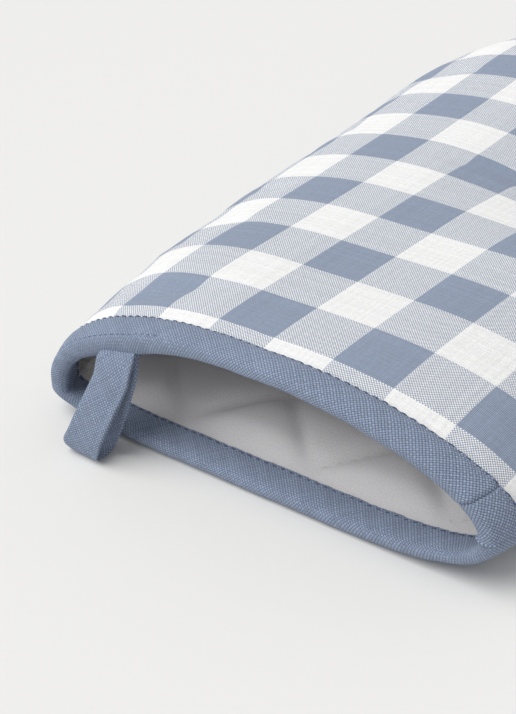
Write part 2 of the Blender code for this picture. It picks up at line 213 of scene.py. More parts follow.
class MittColours(bpy.types.PropertyGroup):
    """Dyes of the cloth and the threads."""

    blue: dye("Gingham blue", "Dyed threads of the gingham", (0.31, 0.37, 0.49))
    white: dye("Gingham white", "Undyed threads of the gingham", (0.94, 0.94, 0.935))
    slate: dye("Binding", "The binding and loop's cloth", (0.25, 0.305, 0.42))
    lining: dye("Lining", "Brushed cotton of the lining", (0.80, 0.785, 0.79))
    fibre: dye("Wadding", "Cotton wadding", (0.82, 0.80, 0.75))
    navy: dye("Edge thread", "Thread of the binding and the loop", (0.07, 0.1, 0.175))
    ecru: dye("Seam thread", "Thread of the seams and the quilting", (0.74, 0.72, 0.70))
    floor: dye("Floor", "Table top under the mitt", (0.83, 0.825, 0.81))


# ---------------------------------------------------------------- plan and heights


def arc(centre, radii, start, end, steps):
    """Points of an elliptical arc between two angles in degrees, both ends included."""
    turns = np.radians(np.linspace(start, end, steps + 1))
    return np.stack((centre[0] + radii[0] * np.cos(turns), centre[1] + radii[1] * np.sin(turns)), 1)


def flare(y, body):
    """Half width of the body at a distance from the cuff's edge."""
    narrowing = body - MOUTH_HALF
    inside = body - narrowing * np.exp(-np.maximum(y, 0) / FLARE_LENGTH)
    return np.where(y < 0, MOUTH_HALF + narrowing * y / FLARE_LENGTH, inside)


def side_rows(body, sign):
    """The seam along one side, from in front of the cuff to where the body is full."""
    y = np.concatenate(([-LEAD_IN], np.linspace(0, 110 * MM, 23)))
    return np.stack((sign * flare(y, body), y), 1)


def seam_line():
    """The shell's seam from the cuff up the finger side, round fingertips and thumb, and back."""
    along = Vector((math.sin(THUMB_LEAN), math.cos(THUMB_LEAN)))
    across = Vector((along.y, -along.x))
    inner = Vector(THUMB_CENTRE) - THUMB_RADIUS * across
    outer = Vector(THUMB_CENTRE) + THUMB_RADIUS * across
    finger_side = TIP_CENTRE[0] + TIP_RADII[0]
    corner = inner - along * ((inner.x - finger_side) / along.x)
    bisector = (Vector((0, 1)) + along).normalized()
    crotch = corner + bisector * (CROTCH_RADIUS / math.sin(THUMB_LEAN / 2))
    armpit = outer - along * ((outer.x - BODY_RIGHT) / along.x)
    bend = (BODY_RIGHT + ARMPIT_RADIUS, armpit.y - ARMPIT_RADIUS * math.tan(THUMB_LEAN / 2))
    lean = math.degrees(THUMB_LEAN)
    return np.concatenate((
        side_rows(BODY_LEFT, -1),
        arc(TIP_CENTRE, TIP_RADII, 180, 0, 48),
        arc(crotch, (CROTCH_RADIUS,) * 2, 180, 360 - lean, 16),
        arc(THUMB_CENTRE, (THUMB_RADIUS,) * 2, 180 - lean, -lean, 28),
        arc(bend, (ARMPIT_RADIUS,) * 2, 180 - lean, 180, 8),
        side_rows(BODY_RIGHT, 1)[::-1],
    ))


SEAM = seam_line()
SEAM_LEGS = np.diff(SEAM, axis=0)
SEAM_STEPS = np.hypot(*SEAM_LEGS.T)
SEAM_REACHED = np.concatenate(([0], np.cumsum(SEAM_STEPS)))


def from_seam(points):
    """For plan points: the distance in from the seam, the way inwards, and the place along it."""
    gaps = points[:, None] - SEAM[:-1]
    shares = np.clip((gaps * SEAM_LEGS).sum(2) / SEAM_STEPS**2, 0, 1)
    away = gaps - shares[..., None] * SEAM_LEGS
    far = np.hypot(away[..., 0], away[..., 1])
    pick = far.argmin(1)
    rows = np.arange(len(points))
    offset, leg = away[rows, pick], SEAM_LEGS[pick]
    sign = np.where(leg[:, 0] * offset[:, 1] - leg[:, 1] * offset[:, 0] <= 0, 1, -1)
    depth = far[rows, pick] * sign
    across = np.stack((leg[:, 1], -leg[:, 0]), 1) / SEAM_STEPS[pick][:, None]
    clear = far[rows, pick] > 1e-6
    safe = np.where(clear, far[rows, pick], 1)[:, None]
    inwards = np.where(clear[:, None], sign[:, None] * offset / safe, across)
    return depth, inwards, SEAM_REACHED[pick] + shares[rows, pick] * SEAM_STEPS[pick]


def fade(value, start, end):
    """0 up to start, rising smoothly to 1 at end."""
    share = np.clip((value - start) / (end - start), 0, 1)
    return share * share * (3 - 2 * share)


def seam_height(x, y):
    corner = np.clip(x / MOUTH_HALF, 0, 1) ** 2
    return SEAM_HEIGHT + THUMB_SIDE_LIFT * corner * np.exp(-((y / LIFT_LENGTH) ** 2))


def dome(depth, rounding):
    """0 on the seam, 1 beyond the rounding, with the shape of a quarter ellipse."""
    share = np.clip(depth / rounding, 0, 1)
    return np.sqrt(1 - (1 - share) ** 2)


def crown_height(y):
    return BODY_HEIGHT + MOUTH_RISE * np.exp(-((np.maximum(y, 0) / RISE_LENGTH) ** 1.6))


def ground_height(y):
    return CUFF_CLEARANCE * (1 - fade(y, 11 * MM, CLEARANCE_END))


def squeeze(y):
    """Share of the layers' loft that is left where the binding presses them together."""
    return 1 - PRESSED * (1 - fade(y, 10 * MM, 32 * MM))


def surface(points, side, level):
    """Heights of the back or the palm at plan points, on a level."""
    x, y = points.T
    inset, depth = level[0] * squeeze(y), level[1] * squeeze(y)
    away = from_seam(points)[0] - inset
    base = seam_height(x, y) + side * SEAM_GAP
    if side == BACK:
        return base + (crown_height(y) - depth - base) * dome(away, BACK_ROUNDING - inset)
    return base - (base - depth - ground_height(y)) * dome(away, PALM_ROUNDING - inset)


def lay_flat(points, side):
    """Where each plan point lies in the panel's flat cloth, its curved edge unrolled outwards."""
    depth, inwards, _ = from_seam(points)
    x, y = points.T
    rounding = BACK_ROUNDING if side == BACK else PALM_ROUNDING
    rise = np.abs((crown_height(y) if side == BACK else ground_height(y)) - seam_height(x, y))
    lean = np.arcsin(1 - np.clip(depth / rounding, 0, 1))
    steps = (np.arange(24) + 0.5) / 24
    turns = lean[:, None] * steps
    length = np.hypot(rounding * np.cos(turns), rise[:, None] * np.sin(turns)).mean(1) * lean
    spare = length - rounding * np.sin(lean)
    return points - inwards * spare[:, None]


def ripple(x, y, z=0.0):
    """Smooth noise from -1 to 1 at a place."""
    return noise.noise(Vector((x, y, z)))


# ---------------------------------------------------------------- making and keeping pieces


def sizes():
    return bpy.context.scene.mitt_sizes


def colours():
    return bpy.context.scene.mitt_colours


def keep(name, bm, material, recalculate=False):
    """Turns a bmesh in plan values into a smooth piece in the frame."""
    bmesh.ops.translate(bm, vec=(0, CUFF_Y, 0), verts=bm.verts)
    if recalculate:
        bmesh.ops.recalc_face_normals(bm, faces=bm.faces)
    mesh = bpy.data.meshes.new(name)
    bm.to_mesh(mesh)
    bm.free()
    mesh.shade_smooth()
    mesh.materials.append(material)
    piece = bpy.data.objects.new(name, mesh)
    bpy.context.scene.collection.objects.link(piece)
    return piece


def places(mesh):
    """The mesh's vertices as an array, in plan values."""
    flat = np.empty(len(mesh.vertices) * 3)
    mesh.vertices.foreach_get("co", flat)
    return flat.reshape(-1, 3) - (0, CUFF_Y, 0)


def put(mesh, points):
    mesh.vertices.foreach_set("co", (points + (0, CUFF_Y, 0)).ravel())
    mesh.update()


def vertex_normals(mesh):
    flat = np.empty(len(mesh.vertices) * 3)
    mesh.vertices.foreach_get("normal", flat)
    return flat.reshape(-1, 3)


def bake(piece):
    """Replaces a piece's mesh with what its modifiers make of it."""
    evaluated = piece.evaluated_get(bpy.context.evaluated_depsgraph_get())
    mesh = bpy.data.meshes.new_from_object(evaluated)
    piece.modifiers.clear()
    piece.data = mesh


def subdivide(piece):
    smoother = piece.modifiers.new("smoother", "SUBSURF")
    smoother.levels = smoother.render_levels = 1
    bake(piece)
    piece.data.shade_smooth()


def thicken(piece, thickness, offset=-1):
    """Gives a cloth its thickness, behind its faces or, with an offset of 1, in front of them."""
    wall = piece.modifiers.new("cloth", "SOLIDIFY")
    wall.thickness = thickness
    wall.offset = offset
    wall.use_even_offset = False


def write_uv(mesh, flat):
    """Stores one flat place for each vertex as the piece's UV map, in metres."""
    layer = mesh.uv_layers.new(name="flat")
    corner = np.empty(len(mesh.loops), int)
    mesh.loops.foreach_get("vertex_index", corner)
    layer.data.foreach_set("uv", flat[corner].ravel())


def as_sheet(piece):
    """Reads the flat UV places of a piece; nothing is done with them."""
    layer = piece.data.uv_layers["flat"].data
    flat = np.empty(len(layer) * 2)
    layer.foreach_get("uv", flat)


# ---------------------------------------------------------------- sheets of cloth


def flat_sheet(inset, pitch):
    """A flat net of squares inside the seam, its edge drawn on to a line inset from the seam."""
    low, high = SEAM.min(0), SEAM.max(0)
    columns = math.ceil((high[0] - low[0]) / pitch)
    rows = math.ceil(high[1] / pitch)
    bm = bmesh.new()
    bmesh.ops.create_grid(bm, x_segments=columns, y_segments=rows, size=0.5)
    bmesh.ops.scale(bm, vec=(columns * pitch, rows * pitch, 1), verts=bm.verts)
    bmesh.ops.translate(bm, vec=(low[0] + columns * pitch / 2, rows * pitch / 2, 0), verts=bm.verts)
    depth = from_seam(np.array([v.co.xy for v in bm.verts]))[0]
    outside = [v for v, d in zip(bm.verts, depth) if d < inset + 0.45 * pitch]
    bmesh.ops.delete(bm, geom=outside, context="VERTS")
    pinched = [v for v in bm.verts if sum(e.is_boundary for e in v.link_edges) > 2]
    bmesh.ops.delete(bm, geom=pinched, context="VERTS")
    lone = [v for v in bm.verts if not v.link_faces]
    bmesh.ops.delete(bm, geom=lone, context="VERTS")
    cuff = {v for v in bm.verts if abs(v.co.y) < pitch / 4}
    corners = [v for v in bm.verts if len(v.link_edges) == 2 and v not in cuff]
    bmesh.ops.dissolve_verts(bm, verts=corners)
    cuff = {v for v in bm.verts if abs(v.co.y) < pitch / 4}
    ends = [min(cuff, key=lambda v: v.co.x), max(cuff, key=lambda v: v.co.x)]
    edge = [v for v in bm.verts if v.is_boundary and v not in cuff]
    free = [v for v in bm.verts if v not in cuff]
    for end, half in zip(ends, (-1, 1)):
        end.co.x = half * (MOUTH_HALF - inset * float(squeeze(0.0)))
    for _ in range(12):
        bmesh.ops.smooth_vert(bm, verts=free, factor=0.5, use_axis_x=True, use_axis_y=True)
        points = np.array([v.co.xy for v in edge])
        depth, inwards, _ = from_seam(points)
        wanted = inset * squeeze(points[:, 1]) - depth
        for vertex, place in zip(edge, points + inwards * wanted[:, None]):
            vertex.co.xy = place
    inner = [v for v in bm.verts if not v.is_boundary or v in cuff - set(ends)]
    points = np.array([v.co.xy for v in inner])
    depth, inwards, _ = from_seam(points)
    depth = np.maximum(depth - inset * squeeze(points[:, 1]), 0)
    crowding = depth * np.exp(-depth / (8 * MM))
    for vertex, place in zip(inner, points - inwards * crowding[:, None]):
        vertex.co.xy = (place[0], 0 if vertex in cuff else max(place[1], 0))
    return bm


def sheet_piece(name, side, level, material, pitch):
    """A sheet on one level of the back or the palm, looking away from the hollow."""
    bm = flat_sheet(level[0], pitch)
    for vertex, z in zip(bm.verts, surface(np.array([v.co.xy for v in bm.verts]), side, level)):
        vertex.co.z = z
    if side == PALM:
        bmesh.ops.reverse_faces(bm, faces=bm.faces)
    return keep(name, bm, material)


def blow_up(piece, held, pressure, reach):
    """Fills a sheet like a cushion with Blender's cloth, and keeps each point within reach."""
    pins = piece.vertex_groups.new(name="held")
    pins.add([int(i) for i in np.flatnonzero(held)], 1.0, "REPLACE")
    cloth = piece.modifiers.new("fill", "CLOTH")
    cloth.settings.quality = 6
    cloth.settings.mass = 0.15
    cloth.settings.tension_stiffness = 12
    cloth.settings.compression_stiffness = 12
    cloth.settings.shear_stiffness = 6
    cloth.settings.bending_stiffness = 0.4
    cloth.settings.shrink_min = -0.012
    cloth.settings.vertex_group_mass = "held"
    cloth.settings.use_pressure = True
    cloth.settings.uniform_pressure_force = pressure
    cloth.settings.effector_weights.gravity = 0
    cloth.point_cache.frame_start = 1
    cloth.point_cache.frame_end = FILL_FRAMES
    start = places(piece.data)
    for step in range(1, FILL_FRAMES + 1):
        bpy.context.scene.frame_set(step)
    evaluated = piece.evaluated_get(bpy.context.evaluated_depsgraph_get())
    moved = places(evaluated.to_mesh()) - start
    evaluated.to_mesh_clear()
    piece.modifiers.clear()
    piece.vertex_groups.clear()
    far = np.linalg.norm(moved, axis=1)
    print(f"{piece.name}: moved {far.mean() / MM:.2f} mm on average, {far.max() / MM:.2f} at most")
    moved *= (reach * np.tanh(far / reach) / np.maximum(far, 1e-9))[:, None]
    put(piece.data, start + moved)
    bpy.context.scene.frame_set(1)


def shell_panel(name, side, material):
    """One gingham panel: filled like a cushion, puckered where it is sewn, then thickened."""
    size = sizes()
    piece = sheet_piece(name, side, OUTSIDE, material, size.mesh)
    points = places(piece.data)
    depth, _, _ = from_seam(points[:, :2])
    held = (depth < size.mesh * 0.4) | (points[:, 1] < size.binding_width + 1.5 * MM)
    if side == PALM:
        held |= points[:, 2] < 0.4 * MM
    blow_up(piece, held, size.pressure, size.swell)
    subdivide(piece)
    points = places(piece.data)
    write_uv(piece.data, lay_flat(points[:, :2], side))
    depth, _, reached = from_seam(points[:, :2])
    normals = vertex_normals(piece.data)
    lift = np.zeros(len(points))
    for i, (x, y, _) in enumerate(points):
        wave = ripple(reached[i] / (5.5 * MM), 3.1, side)
        pucker = SEAM_PUCKER * math.exp(-depth[i] / (7 * MM)) * min(depth[i] / (3 * MM), 1)
        lift[i] += pucker * wave
        behind = y - size.binding_width
        if side == BACK and behind > 0:
            wave = ripple(x / (4.5 * MM), 8.3, 0.5 + behind / (22 * MM))
            pull = BINDING_DRAG * math.exp(-behind / (6 * MM)) * min(behind / (2 * MM), 1)
            lift[i] += pull * wave
        lift[i] += PANEL_WAVE * ripple(x / (34 * MM), y / (41 * MM), 2.0 + side)
    lift[points[:, 1] < size.binding_width] = 0
    points += normals * lift[:, None]
    points[:, 2] = np.maximum(points[:, 2], TABLE_GAP)
    put(piece.data, points)
    thicken(piece, CLOTH)
    return piece


def quilt_lines():
    """The quilting as (way across, distance) for every line: two families of parallel lines."""
    pitch = sizes().quilt_pitch
    middle = np.array(QUILT_MIDDLE)
    steps = range(-QUILT_LINES, QUILT_LINES + 1)
    lines = []
    for slope in (-1, 1):
        across = np.array((1, slope)) / math.sqrt(2)
        lines += [(across, across @ middle + step * pitch) for step in steps]
    return lines


def off_quilting(points):
    """Distance of plan points from the nearest line of each of the two families."""
    lines = quilt_lines()
    half = len(lines) // 2
    away = np.stack([np.abs(points @ across - distance) for across, distance in lines])
    return away[:half].min(0), away[half:].min(0)


def lining_lift(points):
    """How far the quilted lining stands into the hollow at plan points."""
    one, two = off_quilting(points)
    depth, _, _ = from_seam(points)
    pillow = (1 - np.exp(-one / VALLEY_WIDTH)) * (1 - np.exp(-two / VALLEY_WIDTH))
    edge = fade(depth - HOLLOW[0], 0, 14 * MM) * fade(points[:, 1], 9 * MM, 20 * MM)
    return sizes().quilt_puff * (0.12 + 0.88 * pillow) * edge


def lining_panel(name, side, material):
    """One lining panel, puffed between its quilting lines, its right side to the hollow."""
    piece = sheet_piece(name, side, HOLLOW, material, sizes().mesh)
    subdivide(piece)
    points = places(piece.data)
    points[:, 2] = surface(points[:, :2], side, HOLLOW)
    put(piece.data, points)
    write_uv(piece.data, points[:, :2])
    lift = lining_lift(points[:, :2])
    crease = np.array([ripple(x / (6 * MM), y / (6 * MM), 5.0 + side) for x, y, _ in points])
    one, two = off_quilting(points[:, :2])
    near_line = np.exp(-np.minimum(one, two) / (3 * MM))
    lift += LINING_CREASE * crease * near_line * fade(points[:, 1], 9 * MM, 20 * MM)
    points -= vertex_normals(piece.data) * lift[:, None]
    put(piece.data, points)
    thicken(piece, CLOTH, offset=1)
    return piece


def wadding_pad(name, side, material):
    """The fibre pad between shell and lining, slightly lumpy."""
    piece = sheet_piece(name, side, WADDING_OUT, material, 2 * sizes().mesh)
    subdivide(piece)
    points = places(piece.data)
    points[:, 2] = surface(points[:, :2], side, WADDING_OUT)
    put(piece.data, points)
    lump = np.array([ripple(x / (9 * MM), y / (9 * MM), side) for x, y, _ in points])
    depth = from_seam(points[:, :2])[0] - WADDING_OUT[0]
    sink = WADDING_LUMPS * (1 + lump) * fade(depth, 0, 6 * MM)
    points -= vertex_normals(piece.data) * sink[:, None]
    put(piece.data, points)
    loft = piece.vertex_groups.new(name="loft")
    for index, share in enumerate(squeeze(points[:, 1])):
        loft.add([index], float(share), "REPLACE")
    thicken(piece, WADDING)
    piece.modifiers["cloth"].vertex_group = "loft"
    return piece


# ---------------------------------------------------------------- materials


class Cloth:
    """A material under construction: its nodes are added and wired one by one."""

    def __init__(self, name, roughness, sheen):
        self.material = bpy.data.materials.new(name)
        self.material.use_nodes = True
        self.tree = self.material.node_tree
        self.shader = self.tree.nodes["Principled BSDF"]
        self.shader.inputs["Roughness"].default_value = roughness
        self.shader.inputs["Sheen Weight"].default_value = sheen
        self.shader.inputs["Sheen Roughness"].default_value = 0.5
        self.shader.inputs["Specular IOR Level"].default_value = 0.25

    def wire(self, value, socket):
        if isinstance(value, bpy.types.NodeSocket):
            self.tree.links.new(value, socket)
        else:
            socket.default_value = value

    def node(self, kind, output=0, settings=(), **inputs):
        """Adds a node, sets its settings and inputs, and gives one of its outputs."""
        made = self.tree.nodes.new(kind)
        for key, value in dict(settings).items():
            setattr(made, key, value)
        for key, value in inputs.items():
            self.wire(value, made.inputs[key.replace("_", " ")])
        return made.outputs[output]

    def sum(self, operation, *values):
        """A Math node."""
        made = self.tree.nodes.new("ShaderNodeMath")
        made.operation = operation
        for value, socket in zip(values, made.inputs):
            self.wire(value, socket)
        return made.outputs[0]

    def mix(self, share, one, two, blend="MIX"):
        """A mix of two colours."""
        made = self.tree.nodes.new("ShaderNodeMix")
        made.data_type = "RGBA"
        made.blend_type = blend
        self.wire(share, made.inputs[0])
        for value, socket in ((one, made.inputs[6]), (two, made.inputs[7])):
            self.wire(value if isinstance(value, bpy.types.NodeSocket) else (*value, 1), socket)
        return made.outputs[2]

    def shaded(self, hue, light):
        """A colour times a brightness."""
        grey = self.node("ShaderNodeCombineColor", Red=light, Green=light, Blue=light)
        return self.mix(1.0, hue, grey, "MULTIPLY")

    def blend(self, share, one, two):
        """A mix of two numbers."""
        return self.sum("ADD", one, self.sum("MULTIPLY", share, self.sum("SUBTRACT", two, one)))

    def flat_place(self, turn=0.0):
        """The piece's UV place in metres, turned by an angle, as two numbers."""
        place = self.node("ShaderNodeUVMap", settings={"uv_map": "flat"})
        turned = self.node("ShaderNodeMapping", Vector=place, Rotation=(0, 0, turn))
        split = self.tree.nodes.new("ShaderNodeSeparateXYZ")
        self.wire(turned, split.inputs[0])
        return place, split.outputs[0], split.outputs[1]

    def noise(self, place, scale, detail=2.0):
        return self.node("ShaderNodeTexNoise", Vector=place, Scale=scale, Detail=detail)

    def weave(self, u, v, pitch):
        """Plain weave: which thread is on top (1 along v), its height, and both thread numbers."""
        tu, tv = self.sum("DIVIDE", u, pitch), self.sum("DIVIDE", v, pitch)
        iu, iv = self.sum("FLOOR", tu), self.sum("FLOOR", tv)
        over = self.sum("FLOORED_MODULO", self.sum("ADD", iu, iv), 2.0)
        pu = self.sum("SINE", self.sum("MULTIPLY", self.sum("FRACT", tu), math.pi))
        pv = self.sum("SINE", self.sum("MULTIPLY", self.sum("FRACT", tv), math.pi))
        side, length = self.blend(over, pv, pu), self.blend(over, pu, pv)
        height = self.sum("MULTIPLY", self.sum("POWER", side, 0.7),
                          self.sum("MULTIPLY_ADD", length, 0.45, 0.55))
        return over, height, iu, iv

    def uneven(self, number, spread, seed):
        """A brightness for each thread, around 1."""
        random = self.node("ShaderNodeTexWhiteNoise", settings={"noise_dimensions": "1D"},
                           W=self.sum("ADD", number, seed))
        return self.sum("MULTIPLY_ADD", random, spread, 1 - spread / 2)

    def done(self, colour, height, relief, strength=1.0):
        self.wire(colour, self.shader.inputs["Base Color"])
        bump = self.node("ShaderNodeBump", Height=height, Distance=relief, Strength=strength)
        self.wire(bump, self.shader.inputs["Normal"])
        return self.material


def stripes(cloth, place, start, width):
    """1 in every second stripe of a width, from start."""
    turns = cloth.sum("DIVIDE", cloth.sum("SUBTRACT", place, start), 2 * width)
    return cloth.sum("LESS_THAN", cloth.sum("FRACT", turns), 0.5)


def gingham():
    """Two-colour check: dyed and undyed threads cross in a plain weave, with painted shading that
    darkens the gaps between threads and lightens their crowns.
    """
    size, dyes = sizes(), colours()
    cloth = Cloth("woven_gingham", 0.85, 0.12)
    place, u, v = cloth.flat_place()
    over, height, iu, iv = cloth.weave(u, v, size.thread)
    long_hue = cloth.mix(stripes(cloth, u, COLUMN_START, size.check), dyes.white, dyes.blue)
    cross_hue = cloth.mix(stripes(cloth, v, ROW_START, size.check), dyes.white, dyes.blue)
    hue = cloth.mix(over, cross_hue, long_hue)
    uneven = cloth.blend(over, cloth.uneven(iv, 0.14, 7.0), cloth.uneven(iu, 0.14, 31.0))
    fuzz = cloth.sum("MULTIPLY_ADD", cloth.noise(place, 900.0), 0.24, 0.88)
    dyed = cloth.blend(over, stripes(cloth, v, ROW_START, size.check),
                       stripes(cloth, u, COLUMN_START, size.check))
    # Painted shading of the weave: darker in the gaps between threads and lighter on their crowns,
    # much stronger in the dyed threads.
    painted_thread_shading = cloth.sum("MULTIPLY", cloth.sum("SUBTRACT", 0.7, height),
                    cloth.sum("MULTIPLY_ADD", dyed, 0.8, 0.06))
    light = cloth.sum("MULTIPLY", cloth.sum("MULTIPLY", uneven, fuzz),
                      cloth.sum("SUBTRACT", 1.0, painted_thread_shading))
    return cloth.done(cloth.shaded(hue, light), height, 0.07 * MM)


def bias_cotton():
    """Plain weave cut on the bias, with painted shading: lighter where the fibres stand up and
    darker in the gaps between them.
    """
    size, dyes = sizes(), colours()
    cloth = Cloth("woven_bias_cotton", 0.88, 0.08)
    place, u, v = cloth.flat_place(math.radians(45))
    over, height, iu, iv = cloth.weave(u, v, size.bias_thread)
    uneven = cloth.blend(over, cloth.uneven(iv, 0.22, 3.0), cloth.uneven(iu, 0.22, 19.0))
    fuzz = cloth.sum("MULTIPLY_ADD", cloth.noise(place, 1300.0, 3.0), 0.5, 0.75)
    tone = cloth.sum("MULTIPLY_ADD", over, -0.12, 1.06)
    # Painted shading of the weave: darker in the gaps between threads and lighter on their crowns.
    shade = cloth.sum("MULTIPLY_ADD", height, 1.05, 0.36)
    light = cloth.sum("MULTIPLY", cloth.sum("MULTIPLY", uneven, fuzz),
                      cloth.sum("MULTIPLY", tone, shade))
    return cloth.done(cloth.shaded(dyes.slate, light), height, 0.2 * MM)


def brushed_cotton():
    """Off-white lining with a soft nap, faint weave and a few dark flecks."""
    cloth = Cloth("brushed_lining", 0.95, 0.25)
    place, u, v = cloth.flat_place()
    _, height, _, _ = cloth.weave(u, v, 0.6 * MM)
    nap = cloth.noise(place, 1500.0, 4.0)
    fleck = cloth.sum("GREATER_THAN", cloth.noise(place, 620.0, 1.0), 0.78)
    light = cloth.sum("MULTIPLY_ADD", nap, 0.22, 0.87)
    light = cloth.sum("SUBTRACT", light, cloth.sum("MULTIPLY", fleck, 0.16))
    relief = cloth.sum("ADD", nap, cloth.sum("MULTIPLY", height, 0.4))
    return cloth.done(cloth.shaded(colours().lining, light), relief, 0.14 * MM)


def fibre(name, hue, grain):
    """Loose fibre or spun thread, patterned in the piece's own object coordinates."""
    cloth = Cloth(name, 0.9, 0.2)
    place = cloth.node("ShaderNodeTexCoord", output=3)
    hair = cloth.noise(place, grain, 4.0)
    twist = cloth.node("ShaderNodeTexWave", output=1, Vector=place, Scale=grain / 3, Distortion=2.0)
    light = cloth.sum("MULTIPLY_ADD", hair, 0.5, 0.75)
    return cloth.done(cloth.shaded(hue, light), cloth.sum("ADD", hair, twist), 0.1 * MM, 0.7)


def table_top():
    """Plain pale surface with the faintest unevenness."""
    cloth = Cloth("table_surface", 0.55, 0.0)
    place = cloth.node("ShaderNodeTexCoord", output=3)
    grain = cloth.noise(place, 300.0)
    hue = colours().floor
    colour = cloth.mix(grain, [c * 0.995 for c in hue], [min(c * 1.005, 1) for c in hue])
    return cloth.done(colour, grain, 0.01 * MM)


def spun(name, hue, grain=2400.0):
    """A thread's or the wadding's material, made when it is first asked for."""
    return bpy.data.materials.get(name) or fibre(name, hue, grain)


# ---------------------------------------------------------------- mouth, binding and stitches


def curve_through(controls, count):
    """Weights that read count points evenly from a smooth curve through the control points."""
    spans = controls - 1
    weights = np.zeros((count, controls))
    for row, at in enumerate(np.linspace(0, spans, count)):
        first = min(int(at), spans - 1)
        t = at - first
        cubic = (-t + 2 * t**2 - t**3, 2 - 5 * t**2 + 3 * t**3,
                 t + 4 * t**2 - 3 * t**3, t**3 - t**2)
        for k, weight in enumerate(cubic):
            index = min(max(first + k - 1, 0), controls - 1)
            weights[row, index] += weight / 2
    return weights


def mouth_row(turns, y, level):
    """Points of the closed mouth section on a level: turn 0 is the thumb side, pi/2 the top."""
    slope = (BODY_LEFT - MOUTH_HALF) / FLARE_LENGTH * np.exp(-max(y, 0) / FLARE_LENGTH)
    narrow = np.hypot(1, slope)
    inset = level[0] * float(squeeze(y)) * narrow
    left = inset - float(flare(y, BODY_LEFT))
    right = float(flare(y, BODY_RIGHT)) - inset
    x = (left + right) / 2 + (right - left) / 2 * np.cos(turns)
    points = np.stack((x, np.full_like(x, y)), 1)
    top = surface(points, BACK, level)
    under = surface(points, PALM, level)
    return np.column_stack((points, np.where(np.sin(turns) >= 0, top, under)))


def grown(level, amount):
    """A level moved outwards by an amount, as measured at the cuff where the layers are pressed."""
    amount = amount / (1 - PRESSED)
    return (level[0] - amount, level[1] - amount)


def binding_skin(turns):
    """The binding's visible skin as an array of section points for each turn.

    Each section runs from the outer rear edge over the roll and the nose to the inner rear edge.
    """
    size = sizes()
    puff = (0.5 + 0.5 * np.sin(turns))[:, None]
    rear = size.binding_width

    def outside(y, thin, thick):
        low = mouth_row(turns, y, grown(OUTSIDE, thin * MM))
        return low + (mouth_row(turns, y, grown(OUTSIDE, thick * MM)) - low) * puff

    def inside(y, thickness):
        low = mouth_row(turns, y, grown(HOLLOW, -thickness * MM))
        low[:, 0] -= 0.8 * MM * np.cos(turns) ** 5
        off_loop = (turns % (2 * math.pi) - LOOP_TURN) / LOOP_TURN_REACH
        packed = LOOP_ENDS * np.exp(-(off_loop**2))
        low[:, 2] -= packed * (1 - max(y, 0) / rear) ** 0.6
        return low

    nose_out, nose_in = outside(0.4 * MM, 1.05, 1.45), inside(0.4 * MM, 0.7)
    forward = np.array((0, -size.binding_nose, 0))
    nose = [nose_out + (nose_in - nose_out) * share + forward * push
            for share, push in ((0.1, 0.62), (0.32, 0.97), (0.68, 0.97), (0.9, 0.62))]
    controls = [outside(rear, 0.25, 0.25), outside(rear - 0.4 * MM, 0.75, 0.8),
                outside(rear - 1.2 * MM, 0.85, 1.0), outside(0.7 * rear, 1.1, 1.5),
                outside(0.36 * rear, 1.2, 1.75), nose_out, *nose, nose_in, inside(0.4 * rear, 0.95),
                inside(rear - 2 * MM, 0.9), inside(rear - 0.3 * MM, 0.85), inside(rear, 0.4)]
    weights = curve_through(len(controls), BINDING_POINTS)
    return np.einsum("mk,knc->nmc", weights, np.stack(controls))


def binding_turns():
    """Turns of the binding's sections, starting and ending at the join, closer beside it."""
    share = np.linspace(0, 1, BINDING_STATIONS + 1)[:-1]
    close = np.array((0.0006, 0.0012, 0.0018))
    share = np.unique(np.concatenate((share, close, 1 - close)))
    return JOIN_TURN + 2 * math.pi * share


def grid_normals(points):
    """Outward normals of an array of rings that closes round the mouth."""
    along = np.roll(points, -1, axis=0) - np.roll(points, 1, axis=0)
    across = np.gradient(points, axis=1)
    normals = np.cross(along, across)
    normals /= np.maximum(np.linalg.norm(normals, axis=2, keepdims=True), 1e-12)
    middle = len(points) // 4
    return normals if normals[middle, 12, 2] > 0 else -normals


def binding_relief(turns, reached, widths):
    """How far each point of the binding's skin stands out: puckers, waviness, join and tuck."""
    size = sizes()
    total = widths[:, -1:]
    outer, inner = widths, total - widths
    beat = np.cos(2 * math.pi * reached / size.stitch)[:, None]
    lift = np.zeros(widths.shape)
    for i, along in enumerate(reached):
        for k in range(widths.shape[1]):
            w = widths[i, k]
            lift[i, k] += SKIN_WAVE * ripple(along / (7 * MM), w / (7 * MM), 0.4)
            drag = ripple(along / (2.6 * MM) + w / (5 * MM), w / (9 * MM), 4.2)
            edge = math.exp(-outer[i, k] / (4.5 * MM)) + math.exp(-inner[i, k] / (4.5 * MM))
            lift[i, k] += DRAG_FOLDS * drag * edge
    lift -= STITCH_PULLS[0] * (1 - beat) * np.exp(-(((outer - 1.1 * MM) / (0.9 * MM)) ** 2))
    lift -= STITCH_PULLS[1] * (1 - beat) * np.exp(-(((inner - 1.3 * MM) / (0.9 * MM)) ** 2))
    apart = np.minimum(reached, reached[-1] + 0.8 * MM - reached)[:, None]
    lift -= JOIN_GROOVE * np.exp(-((apart / (0.6 * MM)) ** 2))
    lift += JOIN_STEP * np.exp(-apart / (2.2 * MM)) * (reached < reached[-1] / 2)[:, None]
    swing = np.angle(np.exp(1j * (turns - TUCK_TURN)))[:, None] * MOUTH_HALF
    nose = np.exp(-(((widths - 0.62 * total) / (4.5 * MM)) ** 2))
    lift -= TUCK_FOLD * nose * np.exp(-((swing / (0.9 * MM)) ** 2))
    lift += TUCK_RIDGE * nose * np.exp(-(((swing - 2.2 * MM) / (1.6 * MM)) ** 2))
    return lift


